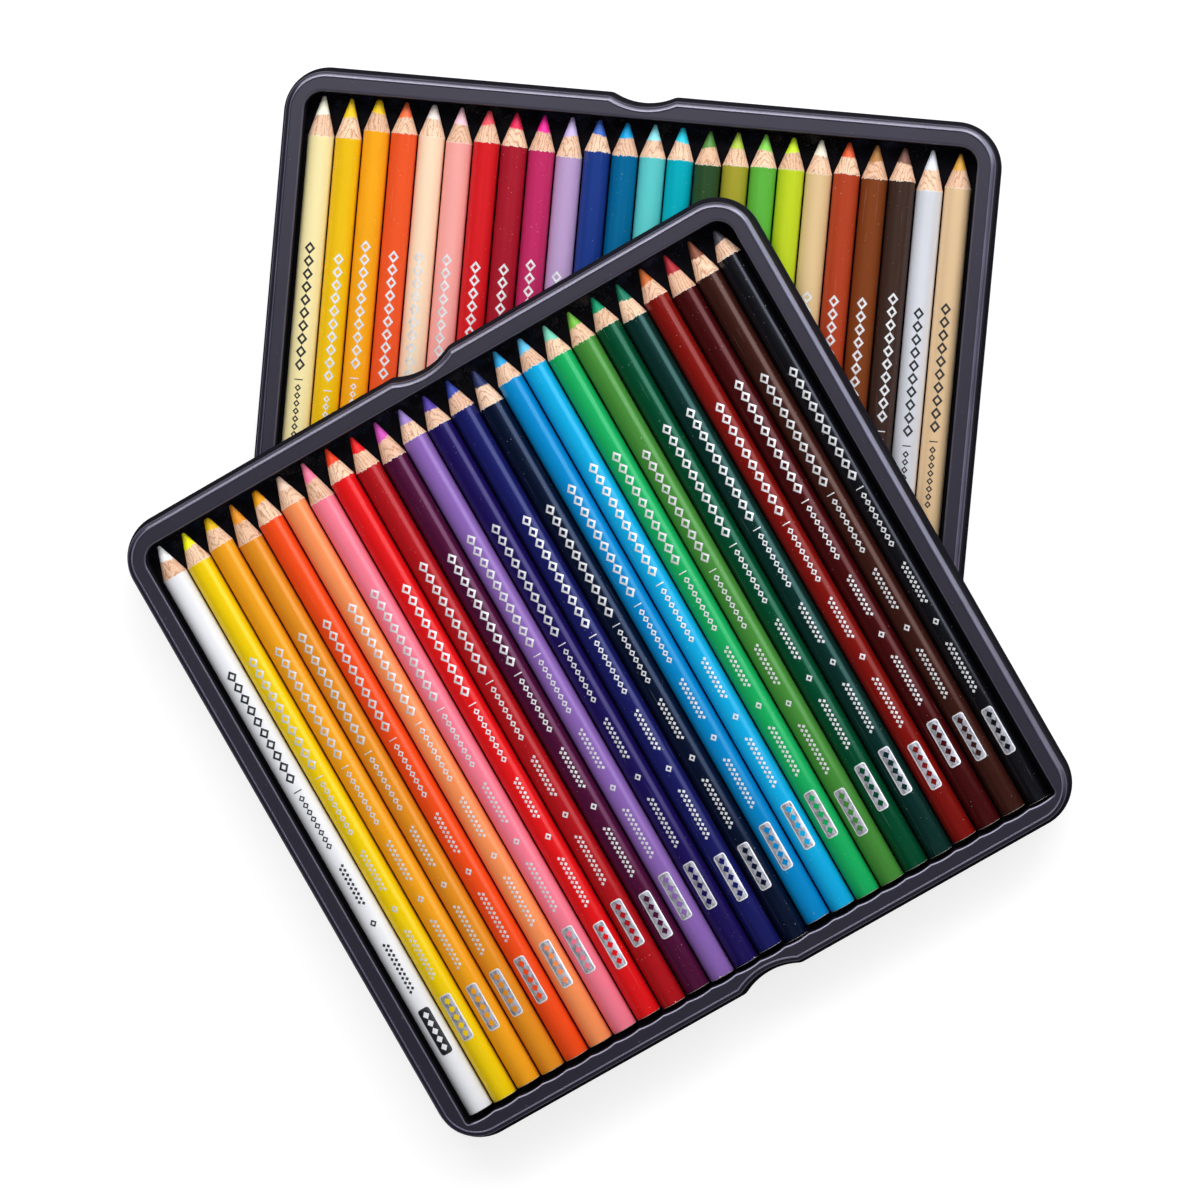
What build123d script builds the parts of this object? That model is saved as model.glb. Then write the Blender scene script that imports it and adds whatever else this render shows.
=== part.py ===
from build123d import *
import math
import os

# A set of round colour pencils in two identical formed trays.
# The rear tray lies on the table and the front tray is laid across it, turned.
# Millimetres, +Z up, the pencils of the rear tray point along +Y.
# The origin is on the table, under the middle of the whole set.

# Pencil
pencils_per_tray = 24
pencil_length = 175.0
barrel_diameter = 7.1
barrel_gap = 0.38  # between two neighbours
core_diameter = 3.8
glue_film = 0.05  # between the core and the wood around it
tip_radius = 0.5
butt_bevel = 0.25

# Well of a tray, measured from its row of pencils
side_gap = 1.6  # outer barrel to the wall beside it
tip_gap = 1.1  # nominal tip to the tip wall
butt_gap = 2.2  # nominal butt to the butt wall
pocket_length = 10.7  # deep part of the well, under the points
tip_corner_radius = 5.0

# Rim around the well
side_rim = 6.1
tip_rim = 7.0
butt_rim = 5.9
outer_corner_radius = 12.5

# Edge profile of the rim, from the outline of the foot inwards
flange_width = 0.9
flange_thickness = 0.6
skirt_run = 0.8  # how far the skirt leans in over its height
bead_width = 0.7
bead_height = 0.3  # above the ledge
bead_bevel = 0.2
edge_bevel = 0.4  # soft edge around the well

# Thumb notches in the middle of the tip side and of the butt side
notch_width = 18.6
notch_depth = 2.2
notch_shoulder_radius = 1.0  # at the innermost line of the bead

# Formed sheet
sheet = 0.6
foot_gap = 0.3  # table to the underside of the cradles
cradle_clearance = 0.2
ridge_height = 1.6  # ridges between the cradles, above the cradle bottoms
headroom = 2.3  # top of a barrel to the top of the tray
scallop_depth = 0.4  # hollow in the butt wall behind each pencil

# Front tray, as it lies on the rear one
front_turn = 35.0
front_shift_x = 1.6
front_shift_y = -59.6

# Each pencil from left to right: colour, shift towards the tip, length of its point
front_row = [
    ("white", 0.2, 9.3),
    ("yellow", 0.0, 9.1),
    ("amber", 0.3, 8.3),
    ("ochre", 0.2, 11.2),
    ("orange", 0.2, 9.2),
    ("apricot", 0.3, 8.4),
    ("pink", 0.2, 11.2),
    ("scarlet", 0.3, 9.2),
    ("crimson", -0.4, 9.4),
    ("plum", -0.1, 11.0),
    ("lilac", -0.4, 8.7),
    ("violet", -0.4, 9.0),
    ("ultramarine", 0.0, 8.9),
    ("navy", -1.2, 10.5),
    ("azure", 0.4, 8.9),
    ("sky_blue", 0.0, 8.4),
    ("green", -0.3, 8.9),
    ("lime_green", -0.4, 8.8),
    ("emerald", -0.2, 8.6),
    ("dark_green", -0.4, 10.2),
    ("rust", 0.0, 8.8),
    ("maroon", -0.1, 11.0),
    ("dark_brown", -0.1, 10.5),
    ("black", -1.0, 8.0),
]
rear_row = [
    ("cream", 0.1, 10.9),
    ("gold_yellow", 0.0, 10.7),
    ("saffron", 0.4, 8.6),
    ("vermilion", 0.3, 8.5),
    ("pale_peach", 0.3, 8.7),
    ("blush", 0.2, 9.6),
    ("red", 0.0, 8.6),
    ("dark_red", 0.0, 9.0),
    ("magenta", 0.0, 9.6),
    ("lavender", 0.2, 10.8),
    ("royal_blue", 0.1, 8.6),
    ("peacock", 0.0, 8.9),
    ("aqua", 0.2, 9.0),
    ("teal", 0.0, 8.9),
    ("forest_green", -0.3, 9.2),
    ("olive", 0.0, 9.1),
    ("spring_green", 0.1, 8.9),
    ("chartreuse", -0.1, 8.7),
    ("sand", -0.1, 9.2),
    ("terracotta", -0.1, 8.6),
    ("brown", -0.2, 9.1),
    ("umber", -0.2, 9.0),
    ("silver", -0.2, 11.0),
    ("gold", -0.6, 9.2),
]

# Worked out from the sizes above
barrel_radius = barrel_diameter / 2
core_radius = core_diameter / 2
bore_radius = core_radius + glue_film
pitch = barrel_diameter + barrel_gap
row_width = (pencils_per_tray - 1) * pitch
well_width = row_width + barrel_diameter + 2 * side_gap
well_length = pencil_length + tip_gap + butt_gap
tray_width = well_width + 2 * side_rim
tray_length = well_length + tip_rim + butt_rim
well_tip = tray_length / 2 - tip_rim
well_butt = well_tip - well_length
well_middle = (well_tip + well_butt) / 2
nominal_tip = well_tip - tip_gap
pocket_edge = well_tip - pocket_length
butt_corner_radius = (well_width - row_width - pitch) / 2  # up to the first hollow

cradle_radius = barrel_radius + cradle_clearance
cradle_bottom = foot_gap + sheet
axis_height = cradle_bottom + cradle_radius
ridge_top = cradle_bottom + ridge_height
tray_height = axis_height + barrel_radius + headroom
ledge_height = tray_height - bead_height
skirt_top_inset = flange_width + skirt_run
bead_inset = skirt_top_inset + bead_width
overshoot = 1.0  # how far a cutter runs past the face that it opens


def pencil_centres():
    """The places of the pencils across a tray."""
    return [i * pitch - row_width / 2 for i in range(pencils_per_tray)]


def tray_outline(inset, height):
    """The outline of the foot moved inwards, with its two thumb notches."""
    x = tray_width / 2 - inset
    y = tray_length / 2 - inset
    corner = outer_corner_radius - inset
    corner_cut = corner * (1 - math.sqrt(0.5))
    shoulder = notch_shoulder_radius + bead_inset - inset
    swing = 2 * math.atan(2 * notch_depth / notch_width)
    bowl = notch_width / 2 / math.sin(swing) - shoulder
    start = notch_width / 2
    meet = bowl * math.sin(swing)

    def drop(angle):
        """How far the shoulder has fallen after turning by this angle."""
        return shoulder * (1 - math.cos(angle))

    def notched_side():
        """From the right corner over the notch, round to the next side's corner."""
        rise = (start - shoulder * math.sin(swing / 2), y - drop(swing / 2))
        knee = (meet, y - drop(swing))
        mirror_rise = (-rise[0], rise[1])
        mirror_knee = (-knee[0], knee[1])
        return [
            Line((x - corner, y), (start, y)),
            ThreePointArc((start, y), rise, knee),
            ThreePointArc(knee, (0, y - notch_depth), mirror_knee),
            ThreePointArc(mirror_knee, mirror_rise, (-start, y)),
            Line((-start, y), (corner - x, y)),
            ThreePointArc(
                (corner - x, y), (corner_cut - x, y - corner_cut), (-x, y - corner)
            ),
            Line((-x, y - corner), (-x, corner - y)),
            ThreePointArc(
                (-x, corner - y), (corner_cut - x, corner_cut - y), (corner - x, -y)
            ),
        ]

    far_side = [Rot(0, 0, 180) * edge for edge in notched_side()]
    return Pos(0, 0, height) * Face(Wire(notched_side() + far_side))


def tray_slab(low_inset, low, high_inset, high):
    """A slab of the tray's outline whose sides lean with height."""
    return loft([tray_outline(low_inset, low), tray_outline(high_inset, high)], ruled=True)


def well_face(grow, height, behind=0.0):
    """The outline of the well moved outwards, and further still behind the butts."""
    length = well_length + 2 * grow + behind
    face = Pos(0, well_middle - behind / 2) * Rectangle(well_width + 2 * grow, length)
    tip_corners = face.vertices().group_by(Axis.Y)[-1]
    face = fillet(tip_corners, tip_corner_radius + grow)
    butt_corners = face.vertices().group_by(Axis.Y)[0]
    face = fillet(butt_corners, butt_corner_radius + grow)
    return Pos(0, 0, height) * face.face()


def well_block(grow, low, high, behind=0.0):
    """A straight block of the well's outline."""
    return extrude(well_face(grow, low, behind), high - low)


def rim_solid():
    """Foot flange, leaning skirt and bead, still filled inside."""
    foot = tray_slab(0, 0, 0, flange_thickness)
    skirt = tray_slab(flange_width, flange_thickness, skirt_top_inset, tray_height - bead_bevel)
    crown = tray_slab(
        skirt_top_inset, tray_height - bead_bevel, skirt_top_inset + bead_bevel, tray_height
    )
    return foot + skirt + crown


def ledge_cut():
    """The room above the ledge, inside the bead."""
    lean = bead_bevel * (1 + overshoot / bead_height)
    return tray_slab(bead_inset, ledge_height, bead_inset - lean, tray_height + overshoot)


def well_cut():
    """The well down to the ridges, with its soft top edge."""
    straight = well_block(0, ridge_top, tray_height + overshoot)
    top = ledge_height + overshoot
    low_face = well_face(0, ledge_height - edge_bevel)
    high_face = well_face(edge_bevel + overshoot, top)
    return straight + loft([low_face, high_face], ruled=True)


def hollow_cuts():
    """The hollows in the butt wall, one behind each pencil, with the same soft edge."""
    radius = (pitch**2 / 4 + scallop_depth**2) / (2 * scallop_depth)
    centre = well_butt - scallop_depth + radius
    low = ledge_height - edge_bevel
    flare = edge_bevel + overshoot
    cutters = []
    for x in pencil_centres():
        shaft = Pos(x, centre, (ridge_top + low) / 2) * Cylinder(radius, low - ridge_top)
        cone = Pos(x, centre, low + flare / 2) * Cone(radius, radius + flare, flare)
        slot = Pos(x, well_butt, tray_height / 2) * Box(pitch, 2 * butt_rim, 2 * tray_height)
        cutters.append((shaft + cone) & slot)
    return cutters


def cradle_cuts():
    """The half-round hollows that the barrels lie in."""
    depth = axis_height - ridge_top
    reach = math.sqrt(cradle_radius**2 - depth**2)
    cutters = []
    for x in pencil_centres():
        left = (x - reach, ridge_top)
        right = (x + reach, ridge_top)
        bottom = (x, cradle_bottom)
        profile = Plane.XZ * Face(Wire([ThreePointArc(left, bottom, right), Line(right, left)]))
        cutters.append(Pos(0, pocket_edge, 0) * extrude(profile, pocket_edge - well_butt))
    return cutters


def pocket_block(grow, low, high):
    """The deep part of the well under the points."""
    width = well_width + 2 * (grow + overshoot)
    length = pocket_length + 2 * grow + overshoot
    clip = Pos(0, pocket_edge - grow + length / 2, 0) * Box(width, length, 4 * tray_height)
    return well_block(grow, low, high) & clip


def ring_void():
    """The empty ring under the ledge, between the skirt and the walls of the well."""
    top = ledge_height - sheet
    low_inset = flange_width + sheet
    high_inset = skirt_top_inset + sheet
    inside = tray_slab(low_inset, 0, high_inset, top)
    return inside - well_block(sheet, -overshoot, tray_height, scallop_depth)


def floor_void():
    """The empty room under the cradles and their ridges."""
    top = ridge_top - sheet
    width = well_width + 2 * sheet
    profile = Pos(0, top / 2) * Rectangle(width, top)
    profile -= [Pos(x, axis_height) * Circle(cradle_radius + sheet) for x in pencil_centres()]
    start = pocket_edge - sheet
    end = well_butt - scallop_depth - sheet
    room = Pos(0, start, 0) * extrude(Plane.XZ * profile, start - end)
    return room & well_block(sheet, -overshoot, tray_height, scallop_depth)


def tray():
    """One formed tray, its foot on the table, its middle at the origin."""
    body = rim_solid() - ledge_cut() - well_cut()
    body -= pocket_block(0, sheet, ridge_top + overshoot)
    body -= hollow_cuts()
    body -= cradle_cuts()
    body -= ring_void()
    body -= floor_void()
    return body


def pencil(point_length):
    """Wood casing and colour core, tip at the origin, butt towards -Y."""
    reach = point_length - tip_radius
    lean = math.atan2(barrel_radius, reach)
    lean -= math.asin(tip_radius / math.hypot(barrel_radius, reach))
    ball_edge = (tip_radius * math.cos(lean), tip_radius * math.sin(lean) - tip_radius)
    ball_turn = (math.pi / 2 + lean) / 2
    ball_middle = (tip_radius * math.sin(ball_turn), tip_radius * math.cos(ball_turn) - tip_radius)
    wood_edge = (barrel_radius - bore_radius) / math.tan(lean) - point_length
    core_edge = (barrel_radius - core_radius) / math.tan(lean) - point_length

    casing_edges = Polyline(
        (bore_radius, wood_edge),
        (barrel_radius, -point_length),
        (barrel_radius, butt_bevel - pencil_length),
        (barrel_radius - butt_bevel, -pencil_length),
        (bore_radius, -pencil_length),
        close=True,
    ).edges()
    core_edges = Polyline(
        ball_edge,
        (core_radius, core_edge),
        (core_radius, -pencil_length),
        (0, -pencil_length),
        (0, 0),
    ).edges()
    core_edges.append(ThreePointArc((0, 0), ball_middle, ball_edge).edge())
    casing = revolve(Face(Wire(casing_edges)), Axis.Y)
    core = revolve(Face(Wire(core_edges)), Axis.Y)
    return [casing, core]


def turned_half_size(angle):
    """Half the width and half the length of a tray's outline after a turn."""
    c = abs(math.cos(math.radians(angle)))
    s = abs(math.sin(math.radians(angle)))
    x = tray_width / 2 - outer_corner_radius
    y = tray_length / 2 - outer_corner_radius
    return x * c + y * s + outer_corner_radius, x * s + y * c + outer_corner_radius


def tray_places():
    """Where the rear and the front tray go, with the origin under the middle of the set."""
    half_x, half_y = turned_half_size(front_turn)
    low_x = min(-tray_width / 2, front_shift_x - half_x)
    high_x = max(tray_width / 2, front_shift_x + half_x)
    low_y = min(-tray_length / 2, front_shift_y - half_y)
    high_y = max(tray_length / 2, front_shift_y + half_y)
    rear_x = -(low_x + high_x) / 2
    rear_y = -(low_y + high_y) / 2
    rear = Location((rear_x, rear_y, 0))
    front_position = (rear_x + front_shift_x, rear_y + front_shift_y, tray_height)
    return rear, Location(front_position, (0, 0, front_turn))


def write_node(name, solids):
    export_step(Compound(children=solids, label=name), f"parts/{name}.step")


def write_tray(side, place, row):
    """A tray and its row of pencils, each in its own file."""
    write_node(f"{side}_tray", [place * formed_tray])
    for i, (x, (colour, shift, point_length)) in enumerate(zip(pencil_centres(), row)):
        spot = place * Pos(x, nominal_tip + shift, axis_height)
        solids = [spot * solid for solid in pencil(point_length)]
        write_node(f"{side}_pencil_{i + 1:02d}_{colour}", solids)


os.makedirs("parts", exist_ok=True)
formed_tray = tray().solid()
rear_place, front_place = tray_places()
write_tray("rear", rear_place, rear_row)
write_tray("front", front_place, front_row)

foot_spot = rear_place * Pos(0, (well_tip + pocket_edge) / 2, 0)
print("tray", round(tray_width, 2), "x", round(tray_length, 2), "x", round(tray_height, 2))
print("rear tray at", rear_place.position, "front tray at", front_place.position)
print("flat foot under the rear pocket at", foot_spot.position)
print("tray volume", round(formed_tray.volume), "valid", formed_tray.is_valid)
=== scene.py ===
import math
import random

import bmesh
import bpy
from mathutils import Matrix, Vector, noise


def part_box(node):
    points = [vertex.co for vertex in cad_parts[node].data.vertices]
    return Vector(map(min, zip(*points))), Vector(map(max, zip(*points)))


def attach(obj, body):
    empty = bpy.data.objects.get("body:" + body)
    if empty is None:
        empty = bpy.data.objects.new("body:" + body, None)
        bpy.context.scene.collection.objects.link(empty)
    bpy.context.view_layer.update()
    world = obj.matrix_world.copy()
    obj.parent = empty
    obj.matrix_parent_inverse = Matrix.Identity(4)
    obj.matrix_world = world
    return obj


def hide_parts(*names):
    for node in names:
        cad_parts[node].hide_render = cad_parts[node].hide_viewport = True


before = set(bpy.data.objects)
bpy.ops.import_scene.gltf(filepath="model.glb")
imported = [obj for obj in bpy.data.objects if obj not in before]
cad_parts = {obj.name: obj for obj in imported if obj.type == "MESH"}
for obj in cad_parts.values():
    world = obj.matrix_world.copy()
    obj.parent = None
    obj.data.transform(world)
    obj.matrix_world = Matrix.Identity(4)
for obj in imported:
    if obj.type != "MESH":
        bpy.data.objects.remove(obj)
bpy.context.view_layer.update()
mm = 0.001
print("frame loaded with", len(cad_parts), "nodes")


def linear(colour):
    # a colour written as sRGB, 0 to 255, in the values that a shader takes
    parts = [c / 255 for c in colour]
    return [c / 12.92 if c <= 0.04045 else ((c + 0.055) / 1.055) ** 2.4 for c in parts] + [1.0]


# Node trees

def addNode(tree, kind, values=None, **settings):
    made = tree.nodes.new("ShaderNode" + kind)
    for name, value in settings.items():
        setattr(made, name, value)
    for socket, value in (values or {}).items():
        if isinstance(value, bpy.types.NodeSocket):
            tree.links.new(value, made.inputs[socket])
        else:
            made.inputs[socket].default_value = value
    return made


def maths(tree, operation, first, second=0.0, clamp=False):
    return addNode(tree, "Math", {0: first, 1: second}, operation=operation, use_clamp=clamp).outputs[0]


def times(tree, first, second, clamp=False):
    return maths(tree, "MULTIPLY", first, second, clamp)


def larger(tree, first, second):
    return maths(tree, "MAXIMUM", first, second)


def within(tree, value, middle, reach):
    # 1 where value lies within reach of the middle, 0 elsewhere
    values = {0: value, 1: middle, 2: reach}
    return addNode(tree, "Math", values, operation="COMPARE").outputs[0]


def mixed(tree, share, first, second):
    return addNode(tree, "Mix", {0: share, 6: first, 7: second}, data_type="RGBA").outputs[2]


def mixedValue(tree, share, first, second):
    return addNode(tree, "Mix", {0: share, 2: first, 3: second}, data_type="FLOAT").outputs[0]


def stepped(tree, value, low, high):
    # 0 below low and 1 above high
    return addNode(tree, "MapRange", {0: value, 1: low, 2: high}, clamp=True).outputs[0]


def stretched(tree, vector, scale, shift=(0, 0, 0)):
    return addNode(tree, "Mapping", {"Vector": vector, "Scale": scale, "Location": shift}).outputs[0]


def speckle(tree, vector, scale, detail=2.0, roughness=0.5):
    values = {"Vector": vector, "Scale": scale, "Detail": detail, "Roughness": roughness}
    return addNode(tree, "TexNoise", values).outputs[0]


def newMaterial(name, finish):
    material = bpy.data.materials.new(name)
    material.use_nodes = True
    tree = material.node_tree
    shader = tree.nodes["Principled BSDF"]
    for socket, value in finish.items():
        shader.inputs[socket].default_value = value
    return material, tree, shader


def attributeVector(tree, name):
    return addNode(tree, "Attribute", attribute_name=name, attribute_type="GEOMETRY").outputs["Vector"]


def bumped(tree, shader, height, distance, strength=1.0):
    values = {"Height": height, "Distance": distance, "Strength": strength}
    tree.links.new(addNode(tree, "Bump", values).outputs[0], shader.inputs["Normal"])


# Mesh helpers

def penTo(bm, vert, spot):
    fresh = bmesh.ops.extrude_vert_indiv(bm, verts=[vert])["verts"][0]
    fresh.co = spot
    return fresh


def penArc(bm, vert, centre, degrees, steps, axis=(0, 0, 1)):
    spun = bmesh.ops.spin(
        bm, geom=[vert], cent=centre, axis=axis, angle=math.radians(degrees), steps=steps
    )
    return next(g for g in spun["geom_last"] if isinstance(g, bmesh.types.BMVert))


def keepLocal(bm, layerName):
    # each vertex keeps its place in the piece's own frame, in millimetres, for the materials
    layer = bm.verts.layers.float_vector.new(layerName)
    for vert in bm.verts:
        vert[layer] = vert.co / mm


def finished(name, bm, place, sharpFrom=38):
    bm.transform(place)
    mesh = bpy.data.meshes.new(name)
    bm.to_mesh(mesh)
    bm.free()
    mesh.polygons.foreach_set("use_smooth", [True] * len(mesh.polygons))
    mesh.set_sharp_from_angle(angle=math.radians(sharpFrom))
    piece = bpy.data.objects.new(name, mesh)
    bpy.context.scene.collection.objects.link(piece)
    return piece


# Where the trays and the pencils lie, read from the frame

trayTurn = {"rear": 0.0, "front": 35.0}


def trayPlace(side):
    low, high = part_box(side + "_tray")
    middle = (low + high) / 2
    spot = Matrix.Translation((middle.x, middle.y, low.z))
    return spot @ Matrix.Rotation(math.radians(trayTurn[side]), 4, "Z")


places = {side: trayPlace(side) for side in trayTurn}


def localPoints(node, side):
    back = places[side].inverted()
    return [back @ vert.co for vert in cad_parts[node].data.vertices]


def readPencil(node):
    # tip, size and length of the point of one pencil, in its tray's own frame
    side, number, colour = node.replace("_pencil_", "_").split("_", 2)
    points = localPoints(node, side)
    low = Vector(map(min, *points))
    high = Vector(map(max, *points))
    radius = (high.x - low.x) / 2
    axisX, axisZ = (low.x + high.x) / 2, (low.z + high.z) / 2
    onBarrel = [p.y for p in points if math.hypot(p.x - axisX, p.z - axisZ) > radius - 0.02 * mm]
    return {
        "node": node, "side": side, "number": int(number), "colour": colour,
        "tip": Vector((axisX, high.y, axisZ)), "radius": radius,
        "length": high.y - low.y, "point": high.y - max(onBarrel),
    }


pencils = [readPencil(node) for node in sorted(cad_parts) if "_pencil_" in node]
rearRow = sorted(p["tip"].x for p in pencils if p["side"] == "rear")
pitch = (rearRow[-1] - rearRow[0]) / (len(rearRow) - 1)
print("pencils read:", len(pencils), "pitch in mm:", round(pitch / mm, 3))


# The formed tray

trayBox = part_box("rear_tray")
tray = {
    "halfWidth": (trayBox[1].x - trayBox[0].x) / 2,
    "halfLength": (trayBox[1].y - trayBox[0].y) / 2,
    "height": trayBox[1].z - trayBox[0].z,
    "shy": 0.02 * mm,
    "cornerRadius": 12.5 * mm,
    "notchWidth": 18.6 * mm,
    "notchDepth": 2.2 * mm,
    "notchShoulder": 3.4 * mm,
    "sheet": 0.6 * mm,
    "flangeWidth": 0.9 * mm,
    "shoulder": (1.6 * mm, 9.88 * mm),
    "beadHeight": 0.3 * mm,
    "slopeRadius": 3.26 * mm,
    "crestRadius": 0.2 * mm,
    "crestInset": 2.888 * mm,
    "beadTilts": (31, 14, -60),
    "beadFoot": 0.12 * mm,
    "sideRim": 6.6 * mm,
    "tipRim": 7.0 * mm,
    "buttRim": 6.8 * mm,
    "tipCorner": 5.0 * mm,
    "scallopDepth": 0.4 * mm,
    "bumpRadius": 2.5 * mm,
    "pocketLength": 10.7 * mm,
    "footGap": 0.3 * mm,
    "ridgeHeight": 1.6 * mm,
    "cradleClearance": 0.2 * mm,
    "beadMargin": 0.4 * mm,
    "wellMargin": 0.8 * mm,
    "stepFoot": 0.05 * mm,
    "soft": {
        "foot": 0.15 * mm, "flange": 0.2 * mm, "valley": 0.3 * mm, "shoulder": 0.12 * mm,
        "wellEdge": 0.4 * mm,
    },
}


def ringPath(bm):
    # the closed line of bm, anticlockwise, each point with its outward direction
    first = bm.verts[:][0]
    edge = first.link_edges[0]
    ring = [first]
    while edge.other_vert(ring[-1]) is not first:
        ring.append(edge.other_vert(ring[-1]))
        edge = next(e for e in ring[-1].link_edges if e is not edge)
    points = [vert.co.copy() for vert in ring]
    bm.free()
    if sum(a.x * b.y - b.x * a.y for a, b in zip(points, points[1:] + points[:1])) < 0:
        points.reverse()
    path = []
    for before, here, after in zip(points[-1:] + points[:-1], points, points[1:] + points[:1]):
        along = (here - before).normalized() + (after - here).normalized()
        path.append((here, Vector((along.y, -along.x, 0)).normalized()))
    return path


def footPath():
    # a quarter of the outline with half a thumb notch, mirrored twice
    x, y, corner = tray["halfWidth"] - tray["shy"], tray["halfLength"] - tray["shy"], tray["cornerRadius"]
    depth, start, shoulder = tray["notchDepth"], tray["notchWidth"] / 2, tray["notchShoulder"]
    swing = 2 * math.atan(depth / start)
    bowl = start / math.sin(swing) - shoulder
    bm = bmesh.new()
    vert = bm.verts.new((0, y - depth, 0))
    vert = penArc(bm, vert, (0, y - depth + bowl, 0), math.degrees(swing), 7)
    vert = penArc(bm, vert, (start, y - shoulder, 0), -math.degrees(swing), 5)
    vert = penTo(bm, vert, (x - corner, y, 0))
    vert = penArc(bm, vert, (x - corner, y - corner, 0), -90, 24)
    penTo(bm, vert, (x, 0, 0))
    for axis in "XY":
        bmesh.ops.mirror(
            bm, geom=bm.verts[:] + bm.edges[:], matrix=Matrix.Identity(4), merge_dist=1e-6, axis=axis
        )
    bmesh.ops.remove_doubles(bm, verts=bm.verts, dist=1e-6)
    return ringPath(bm)


def wellPath():
    # half of the well's outline, with a shallow hollow behind each butt, mirrored
    x = tray["halfWidth"] - tray["sideRim"]
    tipY = tray["halfLength"] - tray["tipRim"]
    buttY = tray["buttRim"] - tray["halfLength"]
    tip, half = tray["tipCorner"], len(rearRow) // 2
    hollow = (pitch**2 / 4 + tray["scallopDepth"] ** 2) / (2 * tray["scallopDepth"])
    bump = tray["bumpRadius"]
    hollowY = buttY - tray["scallopDepth"] + hollow
    bumpY = hollowY - math.sqrt((hollow + bump) ** 2 - pitch**2 / 4)
    swing = math.degrees(math.asin(pitch / 2 / (hollow + bump)))
    corner = x - half * pitch
    bm = bmesh.new()
    vert = bm.verts.new((0, tipY, 0))
    vert = penTo(bm, vert, (x - tip, tipY, 0))
    vert = penArc(bm, vert, (x - tip, tipY - tip, 0), -90, 14)
    vert = penTo(bm, vert, (x, bumpY + bump + corner, 0))
    vert = penArc(bm, vert, (x - corner, bumpY + bump + corner, 0), -90, 6)
    for i in range(half, 0, -1):
        vert = penArc(bm, vert, (i * pitch, bumpY, 0), swing, 3)
        vert = penArc(bm, vert, ((i - 0.5) * pitch, hollowY, 0), -2 * swing, 8)
        vert = penArc(bm, vert, ((i - 1) * pitch, bumpY, 0), swing, 3)
    bmesh.ops.mirror(
        bm, geom=bm.verts[:] + bm.edges[:], matrix=Matrix.Identity(4), merge_dist=1e-6, axis="X"
    )
    bmesh.ops.remove_doubles(bm, verts=bm.verts, dist=1e-6)
    return ringPath(bm)


def ringEdges(bm, ring):
    return [bm.edges.get((a, b)) for a, b in zip(ring, ring[1:] + ring[:1])]


def placeRing(ring, path, inset, height):
    for vert, (point, outward) in zip(ring, path):
        spot = point - outward * inset
        vert.co = (spot.x, spot.y, height)


def sweepRings(bm, path, steps):
    # rings of one outline, each with its own inset and height, joined by faces
    ring = [bm.verts.new(point) for point, outward in path]
    for a, b in zip(ring, ring[1:] + ring[:1]):
        bm.edges.new((a, b))
    placeRing(ring, path, *steps[0])
    rings = [ring]
    for step in steps[1:]:
        grown = bmesh.ops.extrude_edge_only(bm, edges=ringEdges(bm, ring))["geom"]
        fresh = {g for g in grown if isinstance(g, bmesh.types.BMVert)}
        ring = [next(e.other_vert(v) for e in v.link_edges if e.other_vert(v) in fresh) for v in ring]
        placeRing(ring, path, *step)
        rings.append(ring)
    return rings


def beadSteps():
    # a broad slope faces outwards, then a small round crest falls to the ledge
    slope, crest, inset = tray["slopeRadius"], tray["crestRadius"], tray["crestInset"]
    outer, upper, inner = [math.radians(tilt) for tilt in tray["beadTilts"]]
    steps = []
    for radius, first, last, count in ((slope, outer, upper, 5), (crest, upper, inner, 6)):
        # each arc has five steps, and both share a point and a tangent where they meet
        across = inset + (radius - crest) * math.sin(upper)
        low = tray["height"] - crest - (radius - crest) * math.cos(upper)
        for i in range(count):
            tilt = first + (last - first) * i / 5
            steps.append((across - radius * math.sin(tilt), low + radius * math.cos(tilt)))
    return steps


def addRim(bm):
    sheet, top, soft = tray["sheet"], tray["height"], tray["soft"]
    ledge = top - tray["beadHeight"]
    flange, bead = tray["flangeWidth"], beadSteps()
    foot = bead[-1][0] + tray["beadFoot"]
    outside = sweepRings(bm, footPath(), [
        (tray["shoulder"][0] + sheet, ledge - sheet), (flange + sheet, 0), (0, 0), (0, sheet),
        (flange, sheet), tray["shoulder"], *bead, (foot, ledge), (foot + tray["beadMargin"], ledge),
    ])
    inside = sweepRings(bm, wellPath(), [
        (-tray["wellMargin"], ledge), (0, ledge), (0, tray["footGap"]), (-sheet, tray["footGap"]),
        (-sheet, ledge - sheet),
    ])
    creases = [
        (outside[2], soft["foot"], 2), (outside[3], soft["flange"], 3), (outside[4], soft["valley"], 3),
        (outside[5], soft["shoulder"], 2), (inside[1], soft["wellEdge"], 4),
    ]
    creases = [(ringEdges(bm, ring), width, segments) for ring, width, segments in creases]
    for first, second in ((outside[-1], inside[0]), (outside[0], inside[-1])):
        edges = ringEdges(bm, first) + ringEdges(bm, second)
        bmesh.ops.triangle_fill(bm, use_beauty=True, use_dissolve=False, edges=edges)
    for edges, width, segments in creases:
        bmesh.ops.bevel(
            bm, geom=edges, offset=width, offset_type="OFFSET", segments=segments, profile=0.5,
            affect="EDGES", material=-1, clamp_overlap=True,
        )


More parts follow.
